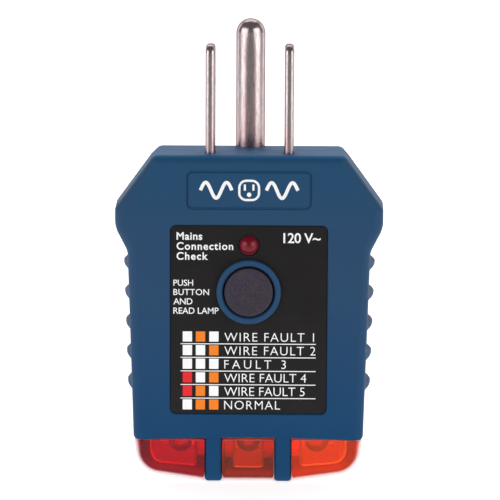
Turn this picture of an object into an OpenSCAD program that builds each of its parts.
// Plug-in outlet tester: a moulded two-part body with two flat blades and a round
// ground pin on top, a press-to-test button, and three lit lenses along the bottom.
// Z is the plugging direction, the face that meets the outlet is z = 0, and the
// front of the body faces -Y. The blades' centre plane is y = 0.

/* [Prongs] */
// Distance between the centres of the two flat blades
blade_spacing = 12.7; // [12:0.1:13]
// Width of a blade, front to rear
blade_w = 6.35; // [6:0.05:7]
// Thickness of a blade
blade_t = 1.5; // [1.3:0.05:1.6]
// How far the blades stand out of the face
blade_len = 17.5; // [16:0.1:18.2]
// Diameter of the ground pin
pin_d = 4.78; // [4.7:0.01:4.85]
// How far the ground pin stands out of the face
pin_len = 21.2; // [20:0.1:22]
// Distance of the ground pin behind the blades
pin_back = 11.9; // [11.8:0.01:12]

/* [Body] */
// Half of the width at the shoulders
shoulder_x = 21.8; // [21:0.1:22.5]
// Half of the width at the bottom of the moulded body
foot_x = 18.85; // [18.5:0.05:19.5]
// Height of the moulded body, from its face down to the lenses
body_h = 45.9; // [44:0.1:48]
// Height of the lenses below the moulded body
lens_h = 6.8; // [6:0.1:8]
// Distance of the front face before the blades' centre plane
front_d = 7; // [6.5:0.1:8]
// Distance of the rear face behind the blades' centre plane
rear_d = 17.5; // [17:0.1:20]
// Distance of the parting plane behind the blades' centre plane
part_y = 4; // [3:0.1:5]
// Thickness of the moulded walls
wall = 1.8; // [1.5:0.1:2]
// Thickness of the wall behind the outlet face
top_wall = 2.5; // [2:0.1:3]
// Width of the two ribs between the lenses
rib_w = 2.8; // [2.4:0.1:3.2]
// Distance of each rib's middle from the centre
rib_x = 5.6; // [5.2:0.1:6]

/* [Grips] */
// Number of finger ridges on each side
grip_count = 5; // [3:1:5]
// Distance between ridges
grip_pitch = 4.93; // [4.5:0.01:5.2]
// Height of the first ridge below the face
grip_top = 18.05; // [17:0.05:19]

/* [Button] */
// Height of the button's centre below the face
button_z = 21.8; // [21:0.1:23]
// Diameter of the button's cap
button_d = 7.75; // [7:0.05:7.8]
// How far the button travels
button_travel = 1.3; // [0.8:0.1:1.4]
// Outer diameter of the raised collar around the button
collar_d = 10.3; // [9.8:0.1:11]

/* [Label] */
// Width of the face label
label_w = 25.05; // [22:0.05:26]
// Height of the face label's upper edge below the face
label_top = 11.2; // [10.8:0.1:12]
// Height of the face label's lower edge below the face
label_foot = 41.6; // [38:0.1:43]
// Height of the progress lamp below the face
led_z = 14.35; // [14.2:0.05:15]

/* [Hidden] */
$fn = 48;
eps = 0.02;
fit = 0.05;

// Round edges and draft of the body
front_round = 1.5;
rear_round = 4.5;
draft = 2;
arc_steps = 4;

// Board, parts on it and screws
board_y = 2;
board_t = 1.6;
board_x = 15.5;
board_top = 11.8;
board_foot = 41;
post_x = 12.5;
post_z = 27;
screw_spots = [[15.6, 9.5], [13.8, 35]];
screw_r = 1.25;
head_r = 2.2;
head_h = 1.5;
seat_y = 13.6;
boss_r = 2.4;
lamp_x = 11.1;
lamp_r = 2;
lamp_y = -0.6;
lamp_foot = 48.9;
lamp_top = 41.5;
lead_r = 0.25;
lead_x = 0.8;
lead_z = 2.2;
resistor_x = 7.6;
resistor_z = 32;
resistor = [1.15, 6.2, 10];
small_part = [0.9, 3.6, 7.6];
small_x = 8.2;
small_z = 20.4;
load_part = [2.2, 13, 18];
load_x = 5.5;
load_z = 28;
slot_half = 0.25;
slot_reach = 1.4;

// Faces inside the body, measured along Y from the blades' centre plane
inner_y = wall - front_d;
collar_y = front_d + 0.9;
button_y = front_d + 1.2;
stem_y = -2.2;
cover_y = -0.8;
led_y = front_d + 0.9;
flange_y = 3.9;
led_r = 1.6;
post_r = 1.8;
peg_r = 0.9;
panel_w = 20;
panel_h = 6.15;
panel_z = 5.5;
dish_r = 14;
dish_depth = 0.35;
switch_w = 7;
contact_y = button_travel + 0.06;
contact_t = 0.16;
contact_w = 1.6;
contact_x = 4.2;
plunger_r = 1.5;
flange_r = 4.7;
spring_r = 2.3;
spring_wire = 0.2;
spring_turns = 4;
grip_h = 0.65;
ridge_up = 0.8;
ridge_down = 0.8;
ridge_round = 0.4;
ridge_rise = 0.5;
ridge_flat = 0.6;
ridge_reach = 10.5;
lens_foot = body_h + lens_h;
rib_foot = lens_foot + 0.15;
rib_head = body_h - 2;
rib_round = 1.2;
ear_w = 8.4;
ear_foot = 4.2;
tail_w = 3.2;
tail_foot = 10.6;
blade_round = 1.6;
detent_r = 1.59;
detent_z = 11.7;
pin_root_r = 2.2;
pin_ear_r = 3.3;
pin_tail_r = 1.5;
holder_x = 11;
holder_y = [-4.7, 14.2];
holder_foot = 6.8;
wire_r = 0.65;
blade_route = [[7.14, 0, -9.2], [8.6, 0, -9.3], [10, -0.9, -10.8], [10.8, -1.6, -13],
    [10.8, -0.9, -14.6], [10.8, 0.6, -15], [10.8, 2, -15]];
ground_route = [[0, 11.9, -10.6], [0, 11.9, -12.4], [0, 11.2, -14.4], [0, 9.4, -15.6],
    [0, 7, -15.8], [0, 5, -15.6], [0, 3.6, -15.6]];

// The face label lies in a shallow recess
label_y = 0.1 - front_d;
label_t = 0.2;
label_h = label_foot - label_top;
label_mid = -(label_top + label_foot) / 2;

// Half of the body's width at height z, below the shoulders
side_top = 15.6;
side_top_x = 20;
function side_x(z) = side_top_x - (side_top_x - foot_x) * (-z - side_top) / (body_h - side_top);

// Outlines are closed clockwise lists of corners [x, z, radius, share], where share says
// how much of [edge rounding, draft] the edge that starts at the corner takes. The body
// is given by its right half, from the outlet face down to a foot at height z.
moulded = [1, 1];
level_face = [1, 0];
cut_edge = [0, 0];
function half_body(z) = [[15.64, 0, 1.6, moulded], [shoulder_x, -8.41, 1.5, moulded],
    [shoulder_x, -11.7, 5, moulded], [side_top_x, -side_top, 3, moulded],
    [side_x(z), z, 0.9, cut_edge]];
function body_outline(z, top = level_face) = let (half = half_body(z), n = len(half)) concat(half,
    [[0, z + 0.5, 300, cut_edge]],
    [for (i = [n - 1:-1:0])
        [-half[i][0], half[i][1], half[i][2], i == 0 ? top : half[i - 1][3]]]);

// Moves each edge inwards by its own share of d = [edge rounding, draft]
function unit(v) = v / norm(v);
function xz(c) = [c[0], c[1]];
function inward(a, b) = let (u = unit(b - a)) [u[1], -u[0]];
function cross2(a, b) = a[0] * b[1] - a[1] * b[0];
function meet(p, u, q, v) = p + u * (cross2(q - p, v) / cross2(u, v));
function moved(a, b, e, share_a, share_b, r, d) = let (
        m = meet(b + inward(a, b) * (d * share_a), unit(b - a),
            b + inward(b, e) * (d * share_b), unit(e - b)),
        turn = cross2(b - a, e - b) < 0 ? -1 : 0.3
    )
    [m[0], m[1], max(r + turn * (d[0] + d[1]), 0.3), share_b];
function inset(c, d) = let (n = len(c)) [for (i = [0:n - 1]) let (h = (i + n - 1) % n)
    moved(xz(c[h]), xz(c[i]), xz(c[(i + 1) % n]), c[h][3], c[i][3], c[i][2], d)];

// Adds the finger ridges to both straight sides of the body's outline, h proud of them
shoulder = 3;
function on_line(p, q, z) = p[0] + (q[0] - p[0]) * (z - p[1]) / (q[1] - p[1]);
function ridge(p, q, z, h) = let (s = sign(p[0]))
    [for (e = [[ridge_up, 0], [ridge_up - ridge_rise, h], [ridge_up - ridge_rise - ridge_flat, h],
            [-ridge_down, 0]])
        [on_line(p, q, z + e[0]) + s * e[1], z + e[0], ridge_round, 0, 2]];
function ridges(p, q, h) = [for (i = [0:grip_count - 1])
    each ridge(p, q, -grip_top - i * grip_pitch, h)];
function turned(list) = [for (i = [len(list) - 1:-1:0]) list[i]];
function gripped(c, h) = let (n = len(c)) concat(
    [for (i = [0:shoulder]) c[i]],
    ridges(c[shoulder], c[shoulder + 1], h),
    [for (i = [shoulder + 1:n - shoulder - 2]) c[i]],
    turned(ridges(c[n - shoulder - 1], c[n - shoulder - 2], h)),
    [for (i = [n - shoulder - 1:n - 1]) c[i]]);

// Rounds every corner; a corner's fifth number is how many steps its arc takes
function corner_arc(a, b, e, r, steps) = let (
        u = unit(a - b),
        v = unit(e - b),
        half = acos(u * v) / 2,
        hub = b + unit(u + v) * (r / sin(half)),
        p = b + u * (r / tan(half)) - hub,
        q = b + v * (r / tan(half)) - hub,
        turn = atan2(cross2(p, q), p * q)
    )
    [for (k = [0:steps]) let (t = turn * k / steps)
        hub + [p[0] * cos(t) - p[1] * sin(t), p[0] * sin(t) + p[1] * cos(t)]];
function rounded(c) = let (n = len(c)) [for (i = [0:n - 1])
    each corner_arc(xz(c[(i + n - 1) % n]), xz(c[i]), xz(c[(i + 1) % n]), c[i][2],
        is_undef(c[i][4]) ? arc_steps : c[i][4])];

// A closed skin through rings of points
function quads(m, n) = [for (i = [0:m - 2]) for (k = [0:n - 1]) let (j = (k + 1) % n)
    each [[i * n + k, (i + 1) * n + j, i * n + j],
        [i * n + k, (i + 1) * n + k, (i + 1) * n + j]]];
module skin(rings) {
    n = len(rings[0]);
    m = len(rings);
    first = [for (k = [0:n - 1]) k];
    last = [for (k = [n - 1:-1:0]) (m - 1) * n + k];
    polyhedron([for (r = rings) each r], concat([first], quads(m, n), [last]), convexity = 8);
}

// A ring of the outline in the plane at distance y, and a straight prism of one
function ring(outline, y) = [for (p = rounded(outline)) [p[0], y, p[1]]];
module prism(outline, y0, y1) {
    translate([0, y1, 0])
        rotate([90, 0, 0])
            linear_extrude(height = y1 - y0)
                polygon(rounded(outline));
}

// Levels [y, [edge rounding, draft]] of the front and of the rear
function slope(y) = abs(y - part_y) * tan(draft);
function front_levels(face_y) = let (y = face_y + front_round)
    [for (k = [0:4]) let (a = 22.5 * k)
        [y - front_round * cos(a), [front_round * (1 - sin(a)), slope(y)]]];
function rear_levels(face_y) = let (y = face_y - rear_round)
    [for (k = [5:-1:0]) let (a = 18 * k)
        [y + rear_round * cos(a), [rear_round * (1 - sin(a)), slope(y)]]];

// A tube along a path, with n sides; side is a direction that the path never takes
function step(path, i) = unit(path[min(i + 1, len(path) - 1)] - path[max(i - 1, 0)]);
module tube(path, r, n, side) {
    skin([for (i = [0:len(path) - 1]) let (
            t = step(path, i),
            u = unit(cross(t, side)),
            v = cross(t, u)
        )
        [for (k = [0:n - 1]) let (a = 360 * k / n) path[i] + (u * cos(a) + v * sin(a)) * r]]);
}
// A smooth path through hand-placed points
function spline(p, per) = concat(
    [for (i = [0:len(p) - 2]) each let (
            a = p[max(i - 1, 0)],
            b = p[i],
            c = p[i + 1],
            d = p[min(i + 2, len(p) - 1)]
        )
        [for (k = [0:per - 1]) let (t = k / per)
            (b * 2 + (c - a) * t + (a * 2 - b * 5 + c * 4 - d) * t * t
                + (b * 3 - a - c * 3 + d) * t * t * t) / 2]],
    [p[len(p) - 1]]);

// Boxes and cylinders placed by their limits
module block(x, y, z) {
    translate([x[0], y[0], z[0]])
        cube([x[1] - x[0], y[1] - y[0], z[1] - z[0]]);
}
module rod_y(x, z, y0, y1, r) {
    translate([x, y1, z])
        rotate([90, 0, 0])
            cylinder(h = y1 - y0, r = r);
}
module rod_z(x, y, z0, z1, r) {
    translate([x, y, z0])
        cylinder(h = z1 - z0, r = r);
}

// A plate with round corners, facing the front, between two distances along Y
module plate(w, h, r, z, y0, y1) {
    translate([0, y1, z])
        rotate([90, 0, 0])
            linear_extrude(height = y1 - y0)
                union() {
                    square([w - 2 * r, h], center = true);
                    square([w, h - 2 * r], center = true);
                    for (sx = [-1, 1])
                        for (sz = [-1, 1])
                            translate([sx * (w / 2 - r), sz * (h / 2 - r)])
                                circle(r = r);
                }
}

// The two ribs that part the lenses; the body stands on their feet
module ribs(y0, y1, round_y) {
    for (s = [-1, 1])
        translate([s * rib_x - rib_w / 2, 0, 0])
            rotate([90, 0, 90])
                linear_extrude(height = rib_w)
                    union() {
                        translate([y0 + (round_y < part_y ? rib_round : 0), -rib_foot])
                            square([y1 - y0 - rib_round, rib_foot - rib_head]);
                        translate([y0, rib_round - rib_foot])
                            square([y1 - y0, rib_foot - rib_head - rib_round]);
                        translate([round_y, rib_round - rib_foot])
                            circle(r = rib_round);
                    }
}

// Openings in the outlet wall for the blades and the ground pin
module prong_slots() {
    for (s = [-1, 1])
        translate([s * blade_spacing / 2, 0, 0])
            cube([blade_t + 2 * fit, blade_w + 2 * fit, 10], center = true);
    rod_z(0, pin_back, -5, 5, pin_d / 2 + fit);
}

// The space inside the body, open towards the lenses
module hollow(y0, y1, depth, roof) {
    difference() {
        prism(inset(body_outline(-body_h - 4, cut_edge), [depth, 0]), y0, y1);
        block([-30, 30], [-20, 30], [-roof, 20]);
    }
}

// Repeats at each screw and at each board post
module at_screws() {
    for (s = [-1, 1])
        for (spot = screw_spots)
            translate([s * spot[0], 0, -spot[1]])
                children();
}
module at_posts() {
    for (s = [-1, 1])
        translate([s * post_x, 0, -post_z])
            children();
}

// The body's ring at a level. The ridges are highest at the parting plane and fade out
// towards the front and the rear.
function ridge_h(y) = max(grip_h * (1 - abs(y - part_y) / ridge_reach), 0.05);
function body_ring(level) =
    ring(gripped(inset(body_outline(-body_h), level[1]), ridge_h(level[0])), level[0]);

module front_shell() {
    color([0.13, 0.31, 0.47])
        difference() {
            union() {
                difference() {
                    skin(concat(
                        [for (l = front_levels(-front_d)) body_ring(l)],
                        [for (y = [part_y, part_y + 1]) body_ring([y, [0, 0]])]));
                    union() {
                        block([-30, 30], [part_y, 30], [-60, 10]);
                        hollow(inner_y, part_y + 2, wall + slope(inner_y), top_wall);
                    }
                    plate(label_w + 0.2, label_h + 0.2, 1, label_mid, -20, label_y + label_t);
                }
                ribs(0.2 - front_d, part_y, 0.2 - front_d + rib_round);
                rod_y(0, -button_z, -collar_y, inner_y - 0.3, collar_d / 2);
                at_screws()
                    rod_y(0, 0, inner_y - 0.5, part_y, boss_r);
                at_posts() {
                    rod_y(0, 0, inner_y - 0.5, board_y, post_r);
                    rod_y(0, 0, inner_y, board_y + board_t, peg_r);
                }
            }
            prong_slots();
            rod_y(0, -button_z, -20, 0, button_d / 2 + 0.22);
            rod_y(0, -led_z, -20, 0, led_r + 0.1);
            difference() {
                plate(panel_w, panel_h, 1, -panel_z, -20, 0.2 - front_d);
                plate(panel_w - 0.6, panel_h - 0.6, 0.7, -panel_z, -21, 1 - front_d);
            }
            at_screws()
                rod_y(0, 0, -3.5, part_y + 1, screw_r + 0.02);
        }
}

module rear_shell() {
    color([0.12, 0.29, 0.44])
        difference() {
            union() {
                difference() {
                    skin(concat(
                        [for (y = [part_y - 1, part_y]) body_ring([y, [0, 0]])],
                        [for (l = rear_levels(rear_d)) body_ring(l)],
                        [body_ring([rear_d + 1, rear_levels(rear_d)[5][1]])]));
                    union() {
                        block([-30, 30], [-20, part_y], [-60, 10]);
                        block([-30, 30], [rear_d, rear_d + 5], [-60, 10]);
                        hollow(part_y - 2, rear_d - rear_round, wall + slope(rear_d - rear_round),
                            top_wall);
                        hollow(part_y + 1, rear_d - wall, wall + 2, top_wall + eps / 2);
                    }
                }
                ribs(part_y, rear_d - 0.3, rear_d - 0.3 - rib_round);
                at_screws() {
                    rod_y(0, 0, part_y, rear_d - 1, boss_r);
                    rod_y(0, 0, seat_y - 1.4, rear_d - 1, head_r + 1.2);
                }
                at_posts()
                    rod_y(0, 0, board_y + board_t, rear_d - 1, post_r);
            }
            prong_slots();
            at_screws() {
                rod_y(0, 0, part_y - 1, 30, screw_r + 0.2);
                rod_y(0, 0, seat_y, 30, head_r + 0.3);
            }
        }
}

module face_label() {
    color([0.14, 0.12, 0.13])
        difference() {
            plate(label_w, label_h, 0.9, label_mid, label_y, label_y + label_t);
            rod_y(0, -button_z, -20, 0, collar_d / 2 + 0.05);
            rod_y(0, -led_z, -20, 0, led_r + 0.1);
        }
}

// A lens cup on the right side: its outline from the rib to the outside, with the pocket
// for its lamp and a lip that the body holds
rib_side = rib_x + rib_w / 2 + 0.03;
lens_top = -body_h - 0.05;
lip_top = 2 - body_h;
lens_x = foot_x - 0.1;
side_lens = [[rib_side, lens_top, 0.3, cut_edge], [lens_x, lens_top, 0.3, moulded],
    [lens_x - 0.65, 1.5 - lens_foot, 4.5, level_face],
    [rib_side, 0.07 - rib_foot, 0.5, cut_edge]];
side_pocket = [[rib_side + 1.3, lip_top + 1, 0.3], [lens_x - 2.7, lip_top + 1, 0.3],
    [lens_x - 2.9, 2.7 - lens_foot, 2.2], [rib_side + 1.3, 2 - lens_foot, 0.4]];
mid_x = rib_x - rib_w / 2 - 0.03;
mid_lens = [[-mid_x, lens_top, 0.3, cut_edge], [mid_x, lens_top, 0.3, cut_edge],
    [mid_x, 0.05 - rib_foot, 0.5, level_face], [-mid_x, 0.05 - rib_foot, 0.5, cut_edge]];
mid_pocket = [[1.7 - mid_x, lip_top + 1, 0.3], [mid_x - 1.7, lip_top + 1, 0.3],
    [mid_x - 1.7, 1.8 - lens_foot, 0.4], [1.7 - mid_x, 1.8 - lens_foot, 0.4]];
module lens(outline, pocket, lip) {
    difference() {
        union() {
            skin([for (l = concat(front_levels(0.1 - front_d), [[part_y, [0, 0]]],
                rear_levels(rear_d - 0.1))) ring(inset(outline, l[1]), l[0])]);
            block(lip, [inner_y + 0.1, 12.8], [-body_h - 1, lip_top]);
        }
        prism(pocket, inner_y + 0.9, 12);
    }
}
module side_lens() {
    lens(side_lens, side_pocket, [rib_side, lens_x - 2.2]);
}
module left_lens() {
    color([0.8, 0.12, 0.18])
        mirror([1, 0, 0])
            side_lens();
}
module center_lens() {
    color([0.7, 0.2, 0.12])
        lens(mid_lens, mid_pocket, [-mid_x, mid_x]);
}
module right_lens() {
    color([0.86, 0.26, 0.14])
        side_lens();
}

// An indicator lamp hanging from the board's foot, with two leads bent into the board
module lamp(x) {
    color([0.9, 0.75, 0.6])
        union() {
            rod_z(x, lamp_y, lamp_r - lamp_foot, -lamp_top, lamp_r);
            translate([x, lamp_y, lamp_r - lamp_foot])
                sphere(r = lamp_r);
            for (s = [-1, 1]) {
                rod_z(x + lead_x * s, lamp_y, -lamp_top - 0.5, lead_z - lamp_top, lead_r);
                translate([x + lead_x * s, lamp_y, lead_z - lamp_top])
                    sphere(r = lead_r);
                rod_y(x + lead_x * s, lead_z - lamp_top, lamp_y, board_y, lead_r);
            }
        }
}
module left_lamp() { lamp(-lamp_x); }
module center_lamp() { lamp(0); }
module right_lamp() { lamp(lamp_x); }

// A part with axial leads, standing off a board face; side is -1 before the board and
// 1 behind it, and size is its radius, its length along Z and the span of its leads
module axial(x, z, side, size) {
    r = size[0];
    length = size[1];
    span = size[2];
    face = side < 0 ? board_y : board_y + board_t;
    y = face + side * (r + 0.15);
    union() {
        rod_z(x, y, z - length / 2, z + length / 2, r);
        rod_z(x, y, z - span / 2, z + span / 2, lead_r);
        for (e = [-1, 1]) {
            translate([x, y, z + e * span / 2])
                sphere(r = lead_r);
            rod_y(x, z + e * span / 2, min(y, face), max(y, face), lead_r);
        }
    }
}
module left_resistor() {
    color([0.8, 0.66, 0.48])
        axial(-resistor_x, -resistor_z, -1, resistor);
}
module center_resistor() {
    color([0.8, 0.66, 0.48])
        axial(0, -resistor_z, -1, resistor);
}
module right_resistor() {
    color([0.8, 0.66, 0.48])
        axial(resistor_x, -resistor_z, -1, resistor);
}
module led_resistor() {
    color([0.8, 0.66, 0.48])
        axial(-small_x, -small_z, -1, small_part);
}
module led_diode() {
    color([0.12, 0.12, 0.13])
        axial(small_x, -small_z, -1, small_part);
}
module fault_resistor() {
    color([0.45, 0.62, 0.6])
        axial(load_x, -load_z, 1, load_part);
}

module progress_led() {
    color([0.55, 0.05, 0.1])
        union() {
            rod_y(0, -led_z, led_r - led_y, -flange_y, led_r);
            translate([0, led_r - led_y, -led_z])
                sphere(r = led_r);
            rod_y(0, -led_z, -flange_y - 1, -flange_y, led_r + 0.35);
            for (s = [-1, 1])
                rod_y(1.27 * s, -led_z, -flange_y - 0.5, board_y, lead_r);
        }
}

module circuit_board() {
    color([0.16, 0.42, 0.22])
        difference() {
            block([-board_x, board_x], [board_y, board_y + board_t], [-board_foot, -board_top]);
            at_screws()
                rod_y(0, 0, 0, 10, boss_r + 0.35);
            at_posts()
                rod_y(0, 0, 0, 10, peg_r + 0.05);
        }
}

module test_button() {
    color([0.22, 0.21, 0.25])
        difference() {
            union() {
                rod_y(0, -button_z, -button_y, inner_y + 0.5, button_d / 2);
                rod_y(0, -button_z, inner_y + 0.1, inner_y + 0.9, flange_r);
                rod_y(0, -button_z, inner_y, stem_y, plunger_r);
            }
            translate([0, dish_depth - button_y - dish_r, -button_z])
                sphere(r = dish_r);
        }
}

module button_spring() {
    y0 = inner_y + 0.9 + spring_wire + eps;
    y1 = cover_y - spring_wire - eps;
    per = 14;
    color([0.75, 0.76, 0.78])
        tube([for (i = [0:spring_turns * per]) let (a = 360 * i / per)
            [spring_r * cos(a), y0 + (y1 - y0) * i / (spring_turns * per),
                spring_r * sin(a) - button_z]],
            spring_wire, 8, [0, 1, 0]);
}

// Contact strips of the switch: flat in the body, then bent down to the board
module contacts(gap) {
    half = contact_w / 2;
    leg = contact_x - contact_t;
    for (s = [-1, 1]) {
        block([min(0.5 * s, contact_x * s), max(0.5 * s, contact_x * s)],
            [contact_y - gap, contact_y + contact_t + gap],
            [-button_z - half - gap, -button_z + half + gap]);
        block([min(leg * s, contact_x * s), max(leg * s, contact_x * s)], [contact_y, board_y],
            [-button_z - half, -button_z + half]);
    }
}
module switch_body() {
    color([0.1, 0.1, 0.11])
        difference() {
            block([-switch_w / 2, switch_w / 2], [cover_y + 0.2, board_y],
                [-button_z - switch_w / 2, -button_z + switch_w / 2]);
            rod_y(0, -button_z, -3, contact_y, spring_r + 0.1);
            contacts(eps);
        }
}
module switch_cover() {
    w = switch_w / 2;
    color([0.76, 0.77, 0.79])
        difference() {
            union() {
                block([-w - 0.2, w + 0.2], [cover_y, cover_y + 0.2], [-button_z - w, w - button_z]);
                for (s = [-1, 1])
                    block([min(s * w, s * (w + 0.2)), max(s * w, s * (w + 0.2))],
                        [cover_y, 1.1], [-button_z - 1.5, 1.5 - button_z]);
            }
            rod_y(0, -button_z, -3, 3, plunger_r + 0.1);
        }
}
module switch_plunger() {
    color([0.82, 0.8, 0.74])
        union() {
            rod_y(0, -button_z, stem_y, 0, plunger_r);
            rod_y(0, -button_z, -0.5, 0, spring_r);
        }
}
module switch_contacts() {
    color([0.86, 0.72, 0.42])
        contacts(0);
}

module prong_holder() {
    color([0.16, 0.13, 0.12])
        difference() {
            block([-holder_x, holder_x], holder_y, [-holder_foot, -top_wall - eps]);
            for (s = [-1, 1])
                translate([s * blade_spacing / 2, 0, 0]) {
                    cube([blade_t + 2 * fit, ear_w + 2 * fit, 2 * (ear_foot + fit)], center = true);
                    cube([blade_t + 2 * fit, tail_w + 2 * fit, 30], center = true);
                }
            rod_z(0, pin_back, -ear_foot - fit, 1, pin_ear_r + fit);
            rod_z(0, pin_back, -20, 1, pin_tail_r + fit);
        }
}

// A flat blade with a rounded end, ears inside the wall and a narrow tail
module blade(x) {
    color([0.8, 0.78, 0.77])
        translate([x - blade_t / 2, 0, 0])
            rotate([90, 0, 90])
                linear_extrude(height = blade_t)
                    difference() {
                        union() {
                            translate([-blade_w / 2, -top_wall - 1])
                                square([blade_w, blade_len + top_wall + 1 - blade_round]);
                            translate([blade_round - blade_w / 2, 0])
                                square([blade_w - 2 * blade_round, blade_len]);
                            for (s = [-1, 1])
                                translate([s * (blade_w / 2 - blade_round), blade_len - blade_round])
                                    circle(r = blade_round);
                            translate([-ear_w / 2, -ear_foot])
                                square([ear_w, ear_foot - top_wall - 2 * eps]);
                            translate([-tail_w / 2, -tail_foot])
                                square([tail_w, tail_foot]);
                        }
                        translate([0, detent_z])
                            circle(r = detent_r);
                    }
}
module hot_blade() { blade(blade_spacing / 2); }
module neutral_blade() { blade(-blade_spacing / 2); }
module ground_pin() {
    color([0.8, 0.78, 0.77])
        union() {
            rod_z(0, pin_back, 0, pin_len - pin_d / 2, pin_d / 2);
            rod_z(0, pin_back, -top_wall - 1, 0.5, pin_root_r);
            translate([0, pin_back, pin_len - pin_d / 2])
                sphere(r = pin_d / 2);
            rod_z(0, pin_back, -ear_foot, -top_wall - 2 * eps, pin_ear_r);
            rod_z(0, pin_back, -tail_foot, -top_wall, pin_tail_r);
        }
}

// Insulated leads from the prongs to the board
module hot_wire() {
    color([0.12, 0.12, 0.13])
        tube(spline(blade_route, 5), wire_r, 10, [0.3, 0.2, 1]);
}
module neutral_wire() {
    color([0.9, 0.9, 0.88])
        mirror([1, 0, 0])
            tube(spline(blade_route, 5), wire_r, 10, [0.3, 0.2, 1]);
}
module ground_wire() {
    color([0.2, 0.55, 0.25])
        tube(spline(ground_route, 5), wire_r, 10, [1, 0, 0]);
}

module case_screws() {
    color([0.7, 0.71, 0.73])
        at_screws()
            difference() {
                union() {
                    rod_y(0, 0, -2.5, seat_y + 0.5, screw_r);
                    rod_y(0, 0, seat_y, seat_y + head_h, head_r);
                }
                block([-slot_reach, slot_reach], [seat_y + 0.5, seat_y + 3], [-slot_half, slot_half]);
                block([-slot_half, slot_half], [seat_y + 0.5, seat_y + 3], [-slot_reach, slot_reach]);
            }
}

front_shell();
rear_shell();
face_label();
left_lens();
center_lens();
right_lens();
left_lamp();
center_lamp();
right_lamp();
left_resistor();
center_resistor();
right_resistor();
fault_resistor();
led_resistor();
led_diode();
progress_led();
circuit_board();
test_button();
button_spring();
switch_body();
switch_cover();
switch_plunger();
switch_contacts();
prong_holder();
hot_blade();
neutral_blade();
ground_pin();
hot_wire();
neutral_wire();
ground_wire();
case_screws();
